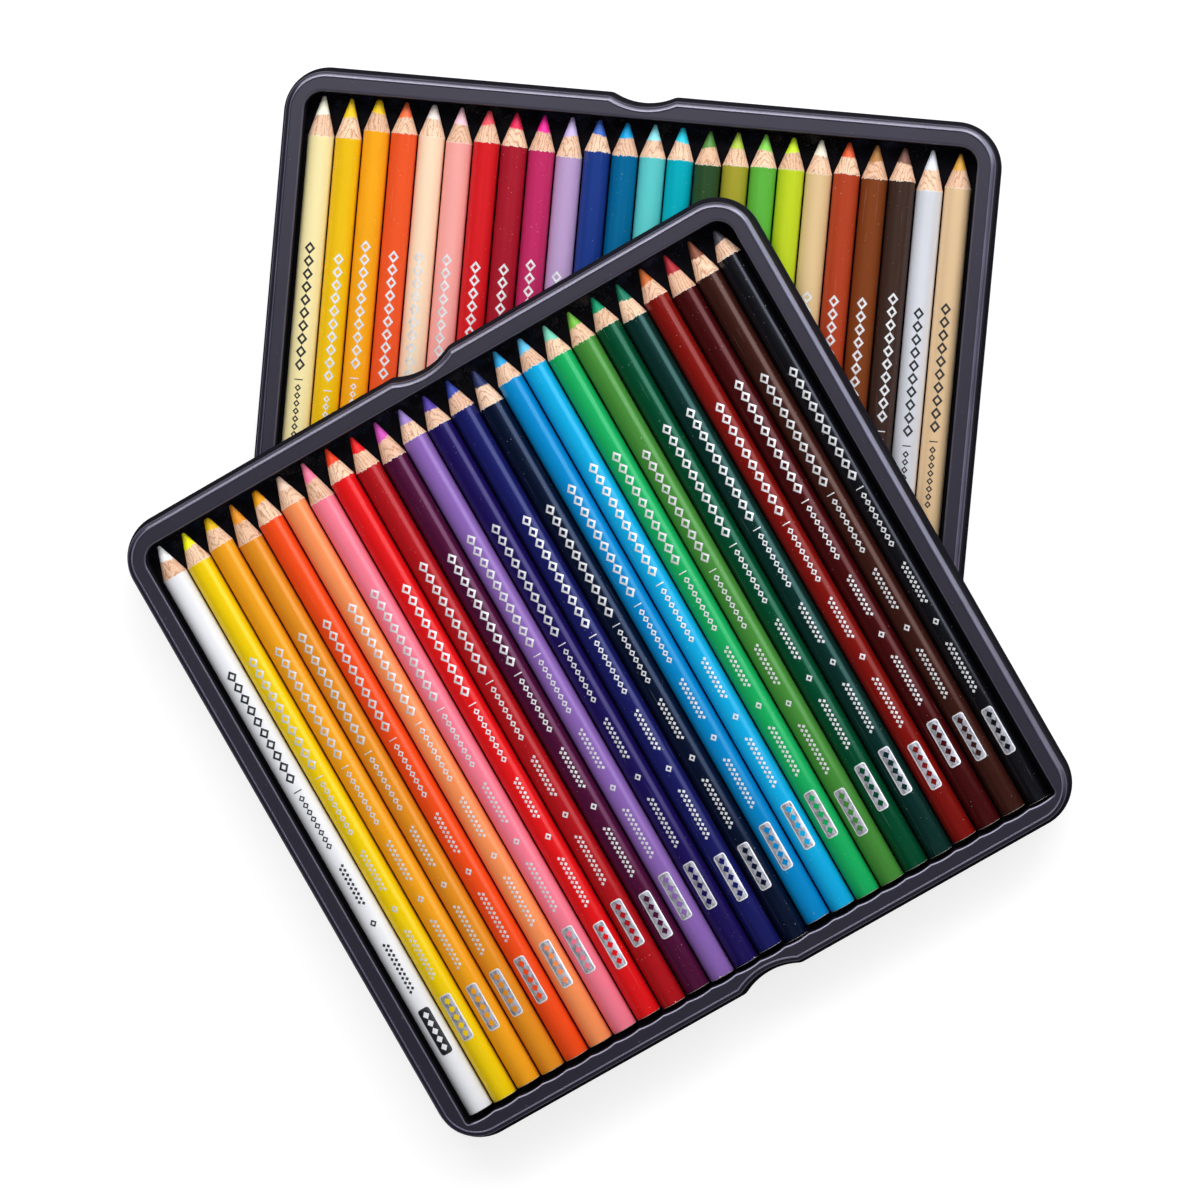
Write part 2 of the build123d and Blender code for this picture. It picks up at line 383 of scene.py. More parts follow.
def cradleLine(bm, y):
    # the line of ridges and hollows across the tray, at one place along it
    radius = pencils[0]["radius"] + tray["cradleClearance"]
    bottom = tray["footGap"] + tray["sheet"]
    ridge = bottom + tray["ridgeHeight"]
    axis = bottom + radius
    reach = math.sqrt(radius**2 - (axis - ridge) ** 2)
    sweep = math.degrees(2 * math.asin(reach / radius))
    edge = tray["halfWidth"] - tray["sideRim"] + tray["sheet"] / 2
    vert = bm.verts.new((-edge, y, ridge))
    middle = (rearRow[0] + rearRow[-1]) / 2
    for x in rearRow:
        across = x - middle
        vert = penTo(bm, vert, (across - reach, y, ridge))
        vert = penArc(bm, vert, (across, y, axis), -sweep, 10, axis=(0, 1, 0))
    penTo(bm, vert, (edge, y, ridge))


def movedVerts(geometry):
    # the fresh vertices of an extrusion
    return [g for g in geometry if isinstance(g, bmesh.types.BMVert)]


def addCradles(bm):
    # the corrugated floor under the barrels, and the step down to the pocket
    tipY = tray["halfLength"] - tray["tipRim"]
    pocketY = tipY - tray["pocketLength"]
    buttY = tray["buttRim"] - tray["halfLength"] - tray["scallopDepth"] - tray["sheet"] / 2
    floor = bmesh.new()
    cradleLine(floor, pocketY)
    grown = bmesh.ops.extrude_edge_only(floor, edges=floor.edges[:])["geom"]
    bmesh.ops.translate(floor, verts=movedVerts(grown), vec=(0, buttY - pocketY, 0))
    bmesh.ops.recalc_face_normals(floor, faces=floor.faces)
    if sum(face.normal.z for face in floor.faces) < 0:
        bmesh.ops.reverse_faces(floor, faces=floor.faces)
    bmesh.ops.solidify(floor, geom=floor.faces[:], thickness=tray["sheet"])
    joinInto(bm, floor)
    step = bmesh.new()
    cradleLine(step, pocketY)
    grown = bmesh.ops.extrude_edge_only(step, edges=step.edges[:])["geom"]
    for vert in movedVerts(grown):
        vert.co.z = tray["stepFoot"]
    grown = bmesh.ops.extrude_face_region(step, geom=step.faces[:])["geom"]
    bmesh.ops.translate(step, verts=movedVerts(grown), vec=(0, -tray["sheet"], 0))
    joinInto(bm, step)


def addPocket(bm):
    # the flat bottom of the deep pocket under the points
    sheet = tray["sheet"]
    high = tray["halfLength"] - tray["tipRim"] + sheet / 2
    low = tray["halfLength"] - tray["tipRim"] - tray["pocketLength"] - sheet / 2
    half = tray["halfWidth"] - tray["sideRim"] + sheet / 2
    pocket = bmesh.new()
    bmesh.ops.create_cube(pocket, size=1)
    bmesh.ops.scale(pocket, verts=pocket.verts, vec=(2 * half, high - low, sheet))
    bmesh.ops.translate(pocket, verts=pocket.verts, vec=(0, (high + low) / 2, sheet / 2))
    corners = [
        e for e in pocket.edges
        if abs(e.verts[0].co.z - e.verts[1].co.z) > sheet / 2 and e.verts[0].co.y > (high + low) / 2
    ]
    bmesh.ops.bevel(
        pocket, geom=corners, offset=tray["tipCorner"] + sheet / 2, segments=10, profile=0.5,
        affect="EDGES", material=-1,
    )
    joinInto(bm, pocket)


def joinInto(bm, part):
    bmesh.ops.recalc_face_normals(part, faces=part.faces)
    carrier = bpy.data.meshes.new("carrier")
    part.to_mesh(carrier)
    part.free()
    bm.from_mesh(carrier)
    bpy.data.meshes.remove(carrier)


plastic = {
    "specular": {"sheen": 0.9, "matt": 0.15},
    "specularTint": (0.86, 0.83, 1.0, 1.0),
    "mattBelow": 9.0 * mm,
    "dark": (23, 21, 34),
    "light": (30, 28, 44),
    "specks": (140, 140, 156),
    "speckShare": 0.5,
    # painted shade: this near-black colour is painted inside the well and down the outer skirt, where
    # shade falls; skirtShade is how much of it the skirt takes
    "shade": (12, 11, 17),  # inside the well and down the skirt
    "skirtShade": 0.9,
    "roughness": (0.34, 0.42),
    "beadRoughness": 0.17,
    "shadeRoughness": 0.75,
}

# painted highlights: a paler colour painted along the bead's crest, the shoulder and the well's edge,
# stronger on the bead's right and tip sides and on the well's edge behind the butts, which face the
# lamps, and weaker on the left crest; how much of the paler colour shows there
paintedHighlight = {
    "colour": (122, 118, 140),
    "edgeColour": (160, 157, 180),
    "leftCrest": 0.55,
    "shoulder": 0.5,
    "rightSide": 0.7,
    "tipSide": 0.3,
    "wellEdge": (0.14, 0.9),  # elsewhere, and behind the butts
    "butts": (-70, -86),  # along the tray, in mm
    "patches": (0.35, 1.0),
}

# pigment from the points, on the wall in front of them
pigment = {
    "violet": (110, 104, 150),
    "blue": (40, 90, 150),
    "grey": (150, 140, 130),
    "smudges": 0.35,
    "share": 0.6,
}


def trayZones(tree, spot):
    # where a point lies on the tray, as masks, from its place in the tray's own frame in millimetres
    x, y, z = addNode(tree, "SeparateXYZ", {0: spot}).outputs
    aside = maths(tree, "ABSOLUTE", x)
    ledge = (tray["height"] - tray["beadHeight"]) / mm
    halfX, halfY = tray["halfWidth"] / mm, tray["halfLength"] / mm
    wellX = halfX - tray["sideRim"] / mm
    wellY = halfY - (tray["buttRim"] - tray["scallopDepth"]) / mm
    wall = halfY - tray["tipRim"] / mm
    inside = times(
        tree, stepped(tree, aside, wellX + 0.9, wellX + 0.5),
        stepped(tree, maths(tree, "ABSOLUTE", y), wellY + 0.9, wellY + 0.5),
    )
    outside = maths(tree, "SUBTRACT", 1.0, inside)
    slope = times(tree, within(tree, z, ledge - 0.12, 0.09), outside)
    behindButts = times(
        tree, stepped(tree, y, *paintedHighlight["butts"]), stepped(tree, aside, wellX - 0.8, wellX - 2.2)
    )
    nearWall = times(tree, stepped(tree, y, wall - 7, wall - 1), stepped(tree, z, 10, 8))
    return {
        "well": times(tree, stepped(tree, z, ledge - 0.2, ledge - 0.8), inside),
        "skirt": times(tree, stepped(tree, z, ledge - 0.5, ledge - 1.2), outside),
        "bead": larger(tree, stepped(tree, z, ledge + 0.03, ledge + 0.12), slope),
        "crest": stepped(tree, z, ledge + 0.2, ledge + 0.27),
        "shoulder": times(tree, within(tree, z, tray["shoulder"][1] / mm, 0.12), outside),
        "wellEdge": times(tree, within(tree, z, ledge - 0.12, 0.115), inside),
        "leftSide": stepped(tree, x, 4 - halfX, 3 - halfX),
        "rightSide": stepped(tree, x, halfX - 6, halfX - 3),
        "tipSide": stepped(tree, y, halfY - 6, halfY - 3),
        "behindButts": behindButts,
        "tipWall": times(tree, nearWall, inside),
    }


def plasticWithPaintedShade(tree, spot, zones):
    cloudy = speckle(tree, spot, 0.06, 4.0)
    base = mixed(tree, cloudy, linear(plastic["dark"]), linear(plastic["light"]))
    specks = stepped(tree, speckle(tree, spot, 1.7, 1.0), 0.78, 0.8)
    base = mixed(tree, times(tree, specks, plastic["speckShare"]), base, linear(plastic["specks"]))
    # painted shade: the well and, nearly fully, the skirt are mixed to the near-black shade colour
    skirt = times(tree, zones["skirt"], plastic["skirtShade"])
    shade = maths(tree, "ADD", zones["well"], skirt, clamp=True)
    return mixed(tree, shade, base, linear(plastic["shade"]))


def paintedPlasticHighlights(tree, spot, zones, base):
    # painted highlights: the crest and the rounded edges are painted paler, most of all behind the butts
    # and on the bead's right and tip sides
    wellEdge = mixedValue(tree, zones["behindButts"], *paintedHighlight["wellEdge"])
    wellEdge = times(tree, zones["wellEdge"], wellEdge)
    base = mixed(tree, wellEdge, base, linear(paintedHighlight["edgeColour"]))
    crest = times(tree, zones["crest"], mixedValue(tree, zones["leftSide"], 1.0, paintedHighlight["leftCrest"]))
    shoulder = times(tree, zones["shoulder"], paintedHighlight["shoulder"])
    right, tip = [times(tree, zones[side], paintedHighlight[side]) for side in ("rightSide", "tipSide")]
    beadTowardLamps = times(tree, zones["bead"], larger(tree, right, tip))
    highlighted = larger(tree, larger(tree, crest, shoulder), beadTowardLamps)
    patches = mixedValue(tree, speckle(tree, spot, 0.12, 3.0), *paintedHighlight["patches"])
    return mixed(tree, times(tree, highlighted, patches), base, linear(paintedHighlight["colour"]))


def dustedPlastic(tree, spot, zones, base):
    smudges = stepped(tree, speckle(tree, spot, 0.22, 4.0, 0.7), 0.5, 0.72)
    crumbs = stepped(tree, speckle(tree, spot, 2.2, 2.0), 0.66, 0.7)
    cover = larger(tree, times(tree, smudges, pigment["smudges"]), crumbs)
    cover = times(tree, zones["tipWall"], cover, clamp=True)
    drift = speckle(tree, spot, 0.035, 1.0)
    violet, blue, grey = [linear(pigment[colour]) for colour in ("violet", "blue", "grey")]
    tint = mixed(tree, stepped(tree, drift, 0.42, 0.5), violet, blue)
    tint = mixed(tree, stepped(tree, drift, 0.52, 0.6), tint, grey)
    return mixed(tree, times(tree, cover, pigment["share"]), base, tint)


def trayPlastic(finish):
    material, tree, shader = newMaterial("tray_plastic_" + finish, {
        "IOR": 1.5, "Specular IOR Level": plastic["specular"][finish],
        "Specular Tint": plastic["specularTint"],
    })
    spot = attributeVector(tree, "trayPoint")
    grain = speckle(tree, spot, 3.5, 3.0, 0.6)
    zones = trayZones(tree, spot)
    base = plasticWithPaintedShade(tree, spot, zones)
    base = paintedPlasticHighlights(tree, spot, zones, base)
    base = dustedPlastic(tree, spot, zones, base)
    tree.links.new(base, shader.inputs["Base Color"])
    rough = mixedValue(tree, grain, *plastic["roughness"])
    rough = mixedValue(tree, zones["bead"], rough, plastic["beadRoughness"])
    shaded = larger(tree, zones["well"], zones["skirt"])
    rough = mixedValue(tree, shaded, rough, plastic["shadeRoughness"])
    tree.links.new(rough, shader.inputs["Roughness"])
    height = maths(tree, "ADD", times(tree, grain, 0.3), speckle(tree, spot, 0.25, 2.0))
    bumped(tree, shader, height, 0.02 * mm, 0.6)
    return material


def makeTrays():
    shape = bmesh.new()
    rim = bmesh.new()
    addRim(rim)
    joinInto(shape, rim)
    addCradles(shape)
    addPocket(shape)
    for face in shape.faces:
        face.material_index = int(face.calc_center_median().z < plastic["mattBelow"])
    materials = [trayPlastic(finish) for finish in ("sheen", "matt")]
    for side in trayTurn:
        copy = shape.copy()
        keepLocal(copy, "trayPoint")
        piece = finished(side + "_tray_formed", copy, places[side])
        for material in materials:
            piece.data.materials.append(material)
        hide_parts(side + "_tray")
        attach(piece, side + "_tray")
    print("trays:", len(shape.faces), "faces each")
    shape.free()


makeTrays()


# Pencils

palette = {
    "white": {"lacquer": (234, 235, 240), "core": (250, 250, 252), "mark": "black", "shine": 0.2},
    "yellow": {"lacquer": (240, 203, 4), "core": (255, 245, 0)},
    "amber": {"lacquer": (240, 160, 25), "core": (255, 198, 0), "tip": 1.0},
    "ochre": {"lacquer": (225, 140, 28), "core": (228, 138, 12)},
    "orange": {"lacquer": (240, 75, 22), "core": (255, 164, 0), "tip": 1.0},
    "apricot": {"lacquer": (247, 143, 85), "core": (255, 212, 190), "tip": 0.7},
    "pink": {"lacquer": (245, 122, 144), "core": (255, 118, 152)},
    "scarlet": {"lacquer": (224, 19, 23), "core": (255, 60, 18)},
    "crimson": {"lacquer": (173, 17, 24), "core": (238, 14, 14)},
    "plum": {"lacquer": (73, 13, 50), "core": (206, 70, 178)},
    "lilac": {"lacquer": (136, 98, 176), "core": (150, 124, 198)},
    "violet": {"lacquer": (26, 15, 82), "core": (72, 48, 152)},
    "ultramarine": {"lacquer": (22, 25, 92), "core": (42, 62, 160)},
    "navy": {"lacquer": (5, 15, 40), "core": (24, 30, 76), "tip": 0.7},
    "azure": {"lacquer": (0, 132, 198), "core": (36, 160, 224)},
    "sky_blue": {"lacquer": (10, 168, 224), "core": (96, 198, 245), "tip": 0.7},
    "green": {"lacquer": (20, 168, 92), "core": (116, 208, 180)},
    "lime_green": {"lacquer": (66, 136, 54), "core": (108, 184, 52)},
    "emerald": {"lacquer": (0, 68, 40), "core": (0, 140, 92)},
    "dark_green": {"lacquer": (6, 42, 38), "core": (0, 104, 72)},
    "rust": {"lacquer": (121, 15, 10), "core": (196, 94, 34)},
    "maroon": {"lacquer": (63, 8, 10), "core": (160, 22, 34)},
    "dark_brown": {"lacquer": (54, 22, 16), "core": (120, 62, 40)},
    "black": {"lacquer": (13, 13, 18), "core": (60, 54, 60), "tip": 0.8},
    "cream": {"lacquer": (250, 234, 174), "core": (255, 252, 226), "mark": "black", "tip": 0.6},
    "gold_yellow": {"lacquer": (238, 190, 18), "core": (246, 198, 12)},
    "saffron": {"lacquer": (248, 168, 24), "core": (255, 204, 10), "tip": 0.9},
    "vermilion": {"lacquer": (236, 86, 38), "core": (255, 108, 56)},
    "pale_peach": {"lacquer": (252, 220, 188), "core": (255, 236, 230), "tip": 0.8},
    "blush": {"lacquer": (246, 166, 160), "core": (255, 196, 210)},
    "red": {"lacquer": (212, 28, 35), "core": (246, 76, 92), "tip": 0.7},
    "dark_red": {"lacquer": (165, 26, 44), "core": (228, 22, 76), "tip": 0.6},
    "magenta": {"lacquer": (190, 42, 97), "core": (244, 20, 146)},
    "lavender": {"lacquer": (187, 157, 203), "core": (198, 178, 230)},
    "royal_blue": {"lacquer": (27, 55, 131), "core": (52, 98, 194), "tip": 0.6},
    "peacock": {"lacquer": (0, 98, 146), "core": (0, 154, 220), "tip": 0.6},
    "aqua": {"lacquer": (92, 202, 202), "core": (140, 230, 242)},
    "teal": {"lacquer": (0, 170, 187), "core": (30, 206, 236), "tip": 0.7},
    "forest_green": {"lacquer": (41, 73, 39), "core": (72, 132, 48)},
    "olive": {"lacquer": (163, 157, 46), "core": (172, 204, 58)},
    "spring_green": {"lacquer": (92, 178, 62), "core": (130, 214, 74)},
    "chartreuse": {"lacquer": (189, 210, 36), "core": (206, 240, 28), "tip": 0.6},
    "sand": {"lacquer": (225, 194, 145), "core": (252, 240, 218), "tip": 0.6},
    "terracotta": {"lacquer": (174, 64, 34), "core": (228, 82, 36), "tip": 0.6},
    "brown": {"lacquer": (123, 61, 27), "core": (168, 112, 52)},
    "umber": {"lacquer": (60, 41, 35), "core": (112, 70, 58), "tip": 0.6},
    "silver": {"lacquer": (226, 229, 238), "core": (226, 232, 244), "mark": "black", "metal": 0.15},
    "gold": {"lacquer": (238, 204, 160), "core": (220, 160, 48), "mark": "black", "metal": 0.15},
}

pencilLook = {
    "sides": 48,
    "coreRadius": 1.9 * mm,
    "buttRound": 0.25 * mm,
    "wornLength": 3 * mm,
    "wornFade": 2 * mm,
    "dentSize": 0.9 * mm,
    "dentDepth": 0.11,  # share of the tip's radius
    "toothLength": 1.5,  # in mm, as are the next two
    "chipLength": 0.9,
    "coreWaver": 0.5,
    "pointRoughness": (0.5, 0.8),  # core, wood
    "gloss": (0.18, 0.28),
    "shine": 0.5,
}

wood = {
    "light": (255, 224, 196),
    "middle": (245, 202, 168),
    "dark": (168, 100, 62),
    "rings": 1.15,  # to a millimetre
    "wander": 5.0,
    "ringShare": 0.74,
    "poreShare": 0.68,
    "toneShare": 0.14,
}

paint = {
    "depth": (0.96, 1.03),
    "mark": (226, 222, 218),
    "scratchShare": 0.06,
    "dustShare": 0.3,
    "primer": (236, 228, 214),
}


def pencilShape(pencil):
    # profile from the tip to the butt, spun round the pencil's axis
    radius, length, point = pencil["radius"], pencil["length"], pencil["point"]
    tip = palette[pencil["colour"]].get("tip", 0.5) * mm
    core, bevel = pencilLook["coreRadius"], pencilLook["buttRound"]
    reach = point - tip
    lean = math.atan2(radius, reach) - math.asin(tip / math.hypot(radius, reach))
    edge = Vector((tip * math.cos(lean), tip * math.sin(lean) - tip, 0))
    base = Vector((radius, -point, 0))
    bm = bmesh.new()
    vert = bm.verts.new((0, 0, 0))
    vert = penArc(bm, vert, (0, -tip, 0), math.degrees(lean) - 90, 4)
    vert.co = edge
    for i in range(1, 13):
        vert = penTo(bm, vert, edge.lerp(base, i / 12))
    for behind in (0.35 * mm, 8 * mm, length / 3, 2 * length / 3):
        vert = penTo(bm, vert, (radius, -point - behind, 0))
    vert = penTo(bm, vert, (radius, bevel - length, 0))
    vert = penArc(bm, vert, (radius - bevel, bevel - length, 0), -90, 3)
    vert = penTo(bm, vert, (core, -length, 0))
    penTo(bm, vert, (0, -length, 0))
    bmesh.ops.spin(
        bm, geom=bm.verts[:] + bm.edges[:], cent=(0, 0, 0), axis=(0, 1, 0), angle=math.tau,
        steps=pencilLook["sides"], use_merge=True,
    )
    bmesh.ops.remove_doubles(bm, verts=bm.verts, dist=1e-6)
    bmesh.ops.recalc_face_normals(bm, faces=bm.faces)
    wearTip(bm, pencil, tip)
    return bm


def wearTip(bm, pencil, tip):
    # a used, slightly uneven point
    seed = Vector((pencil["number"] * 3.7, len(pencil["colour"]) * 1.9, pencil["tip"].x / mm))
    worn, depth = pencilLook["wornLength"], pencilLook["dentDepth"]
    for vert in bm.verts:
        if vert.co.y > -worn:
            fade = min(1.0, (vert.co.y + worn) / pencilLook["wornFade"])
            push = noise.noise_vector(vert.co / pencilLook["dentSize"] + seed)
            push.y = min(push.y, 0)
            vert.co += Vector(push) * depth * tip * fade


def pencilMaterial(pencil, seed):
    look = palette[pencil["colour"]]
    full = max(look["lacquer"])
    material, tree, shader = newMaterial(pencil["node"] + "_finish", {
        "IOR": 1.5, "Specular IOR Level": look.get("shine", pencilLook["shine"]),
        "Specular Tint": [0.4 + 0.6 * c / full for c in look["lacquer"]] + [1.0],
    })
    stick = attributeVector(tree, "stick")
    shift = (seed * 13.7, seed * 5.1, seed * 9.3)
    bare, primed = lacquerEnds(tree, stick, shift, pencil)
    inWood = outsideCore(tree, stick, shift, seed)
    woodColour, woodHeight = cedar(tree, stick, shift, seed)
    coreColour, coreHeight = colourCore(tree, stick, shift, look)
    lacquerColour, lacquerHeight = lacquer(tree, stick, shift, look)
    point = mixed(tree, inWood, coreColour, woodColour)
    painted = mixed(tree, primed, lacquerColour, linear(paint["primer"]))
    tree.links.new(mixed(tree, bare, painted, point), shader.inputs["Base Color"])

    pointRough = mixedValue(tree, inWood, *pencilLook["pointRoughness"])
    wear = speckle(tree, stretched(tree, stick, (1, 0.2, 1), shift), 0.9)
    lacquerRough = mixedValue(tree, wear, *pencilLook["gloss"])
    tree.links.new(mixedValue(tree, primed, lacquerRough, pointRough), shader.inputs["Roughness"])
    if "metal" in look:
        tree.links.new(mixedValue(tree, primed, look["metal"], 0.0), shader.inputs["Metallic"])
    pointHeight = mixedValue(tree, inWood, coreHeight, woodHeight)
    bumped(tree, shader, mixedValue(tree, primed, lacquerHeight, pointHeight), 0.05 * mm, 0.8)
    return material


def lacquerEnds(tree, stick, shift, pencil):
    # lacquer ends in short teeth round the foot of the point, and in chips round the butt
    along = addNode(tree, "SeparateXYZ", {0: stick}).outputs["Y"]
    behindEdge = maths(tree, "ADD", along, pencil["point"] / mm)
    teeth = speckle(tree, stretched(tree, stick, (1.6, 0.12, 1.6), shift), 1.0, 3.0, 0.65)
    teeth = times(tree, maths(tree, "SUBTRACT", teeth, 0.5), pencilLook["toothLength"])
    fromEdge = maths(tree, "SUBTRACT", behindEdge, teeth)
    chips = speckle(tree, stretched(tree, stick, (1, 1, 1), shift), 0.55, 3.0, 0.7)
    chips = times(tree, stepped(tree, chips, 0.66, 0.8), pencilLook["chipLength"])
    fromButt = maths(tree, "SUBTRACT", times(tree, along, -1.0), pencil["length"] / mm - 0.03)
    fromEdge = larger(tree, fromEdge, maths(tree, "ADD", fromButt, chips))
    return stepped(tree, fromEdge, 0.0, 0.03), stepped(tree, fromEdge, -0.12, -0.09)


def outsideCore(tree, stick, shift, seed):
    # the core shows at the point and in the butt, with a slanting, ragged edge
    parts = addNode(tree, "SeparateXYZ", {0: stick}).outputs
    across = addNode(tree, "CombineXYZ", {0: parts["X"], 2: parts["Z"]}).outputs[0]
    radial = addNode(tree, "VectorMath", {0: across}, operation="LENGTH").outputs[1]
    slant = times(tree, parts["X"], 0.07 * math.sin(seed * 2.3))
    waver = speckle(tree, stretched(tree, stick, (1, 1, 1), shift), 1.4)
    waver = times(tree, waver, pencilLook["coreWaver"])
    middle = pencilLook["coreRadius"] / mm - pencilLook["coreWaver"] / 2
    coreEdge = maths(tree, "ADD", maths(tree, "ADD", slant, waver), middle)
    return stepped(tree, maths(tree, "SUBTRACT", radial, coreEdge), -0.02, 0.06)


def cedar(tree, stick, shift, seed):
    # year rings run along the pencil and meet the point in long arches
    moved = stretched(tree, stick, (1, 1, 1), shift)
    turned = addNode(tree, "Mapping", {"Vector": moved, "Rotation": (0, seed * 1.7, 0)}).outputs[0]
    wander = speckle(tree, stretched(tree, turned, (0.35, 0.05, 0.35)), 1.0, 3.0)
    planar = addNode(tree, "SeparateXYZ", {0: turned}).outputs["X"]
    rings = maths(tree, "ADD", times(tree, planar, wood["rings"]), times(tree, wander, wood["wander"]))
    growth = times(tree, maths(tree, "PINGPONG", rings, 0.5), 2.0)
    growth = maths(tree, "POWER", growth, 4.0)
    fibres = speckle(tree, stretched(tree, turned, (5.0, 0.35, 5.0)), 1.0, 3.0, 0.6)
    pores = speckle(tree, stretched(tree, turned, (6.0, 0.3, 6.0)), 1.0, 1.0)
    pores = stepped(tree, pores, 0.6, 0.7)
    light, middle, dark = [linear(wood[shade]) for shade in ("light", "middle", "dark")]
    tone = mixed(tree, stepped(tree, fibres, 0.3, 0.7), middle, light)
    tone = mixed(tree, times(tree, growth, wood["ringShare"], clamp=True), tone, dark)
    tone = mixed(tree, times(tree, pores, wood["poreShare"]), tone, dark)
    tone = mixed(tree, wood["toneShare"] * (1 + math.sin(seed * 2.1)), tone, dark)
    return tone, maths(tree, "SUBTRACT", fibres, times(tree, pores, 0.5))


def colourCore(tree, stick, shift, look):
    # waxy colour with fine cutting marks
    streaks = speckle(tree, stretched(tree, stick, (2.4, 0.5, 2.4), shift), 1.0, 3.0, 0.6)
    pale = linear([c + (255 - c) * 0.1 for c in look["core"]])
    deep = linear([min(255, c * 1.03) for c in look["core"]])
    return mixed(tree, stepped(tree, streaks, 0.3, 0.72), deep, pale), streaks


def lacquer(tree, stick, shift, look):
    # clouded paint with a few scratches and specks of dust
    cloudy = speckle(tree, stretched(tree, stick, (0.12, 0.03, 0.12), shift), 1.0, 1.0)
    thick, thin = [linear([min(255, c * depth) for c in look["lacquer"]]) for depth in paint["depth"]]
    colour = mixed(tree, cloudy, thick, thin)
    scratches = speckle(tree, stretched(tree, stick, (2.2, 0.06, 2.2), shift), 1.0, 2.0, 0.4)
    scratches = times(tree, stepped(tree, scratches, 0.71, 0.75), paint["scratchShare"])
    dust = speckle(tree, stretched(tree, stick, (1, 1, 1), shift), 1.9, 1.0)
    dust = times(tree, stepped(tree, dust, 0.76, 0.79), paint["dustShare"])
    colour = mixed(tree, larger(tree, scratches, dust), colour, linear(paint["mark"]))
    ripple = speckle(tree, stretched(tree, stick, (0.5, 0.12, 0.5), shift), 1.0, 2.0)
    return colour, times(tree, ripple, 0.12)


# Foil marks: plain lozenges, bars and a punched panel, in the places where such pencils are stamped

foil = {
    "under": 0.02 * mm,
    "above": 0.024 * mm,
    "roll": (-0.16, 0.16),
    "slide": (-2.4, 1.8),
    "bend": 0.5,
    "rows": [
        # in mm: from the tip, then the step, length and width of each lozenge, the width of its line
        # (solid without one) and its place across
        {"from": 41.6, "count": 10, "step": 3.5, "length": 3.42, "width": 2.9, "line": 0.56},
        {"from": 79.4, "count": 8, "step": 2.1, "length": 2.0, "width": 1.8, "line": 0.36},
        {"from": 100.4, "count": 9, "step": 1.45, "length": 1.1, "width": 1.0, "across": 0.48},
        {"from": 101.1, "count": 8, "step": 1.45, "length": 1.1, "width": 1.0, "across": -0.48},
        {"from": 118.0, "count": 1, "step": 1, "length": 2.2, "width": 2.0, "line": 0.42},
        {"from": 124.6, "count": 11, "step": 1.45, "length": 1.1, "width": 1.0, "across": -0.48},
        {"from": 125.3, "count": 10, "step": 1.45, "length": 1.1, "width": 1.0, "across": 0.48},
    ],
    "bar": {"from": 77.0, "length": 0.3, "width": 2.3},
    "panel": {"from": 144.5, "length": 13.9, "width": 3.45, "corner": 0.85, "rim": 0.34},
    "holes": {"count": 5, "step": 2.45, "length": 2.2, "width": 1.9},
}

foilFinishes = {
    "silver": {"colour": (244, 244, 248), "worn": 0.86, "metal": 0.4},
    "silverField": {"colour": (198, 198, 211), "worn": 0.52, "metal": 0.4},
    "black": {"colour": (24, 24, 28), "worn": 2.2, "metal": 0.0},
    "blackField": {"colour": (14, 14, 18), "worn": 2.2, "metal": 0.0},
}


def lozenge(bm, along, across, length, width, line=0.0, filled=True):
    made = bmesh.ops.create_circle(bm, cap_ends=filled, segments=4, radius=0.5)["verts"]
    bmesh.ops.scale(bm, verts=made, vec=(width, length, 1))
    bmesh.ops.translate(bm, verts=made, vec=(across, -along, 0))
    if line:
        face = made[0].link_faces[0]
        bmesh.ops.inset_individual(bm, faces=[face], thickness=line, use_even_offset=True)
        bmesh.ops.delete(bm, geom=[face], context="FACES")
    return {edge for vert in made for edge in vert.link_edges}


def layPlate(bm, along, length, width, corner=0.0):
    made = bmesh.ops.create_grid(bm, x_segments=1, y_segments=1, size=0.5)["verts"]
    bmesh.ops.scale(bm, verts=made, vec=(width, length, 1))
    bmesh.ops.translate(bm, verts=made, vec=(0, -along - length / 2, 0))
    face = made[0].link_faces[0]
    if corner:
        bmesh.ops.bevel(
            bm, geom=made, offset=corner, segments=4, profile=0.5, affect="VERTICES", material=-1
        )
    return face


def layPanel(bm):
    # the rounded panel near the butt: a bright rim, and a field with lozenges punched out
    panel, holes = foil["panel"], foil["holes"]
    layPlate(bm, panel["from"], panel["length"], panel["width"], panel["corner"])
    field = max(bm.faces, key=lambda f: f.calc_area())
    bmesh.ops.inset_individual(bm, faces=[field], thickness=panel["rim"], use_even_offset=True)
    edges = set(field.edges)
    bmesh.ops.delete(bm, geom=[field], context="FACES_ONLY")
    middle = panel["from"] + panel["length"] / 2
    for i in range(holes["count"]):
        along = middle + (i - (holes["count"] - 1) / 2) * holes["step"]
        edges |= lozenge(bm, along, 0, holes["length"], holes["width"], filled=False)
    before = set(bm.faces)
    bmesh.ops.triangle_fill(bm, use_beauty=True, use_dissolve=False, edges=list(edges))
    for face in set(bm.faces) - before:
        face.material_index = 1


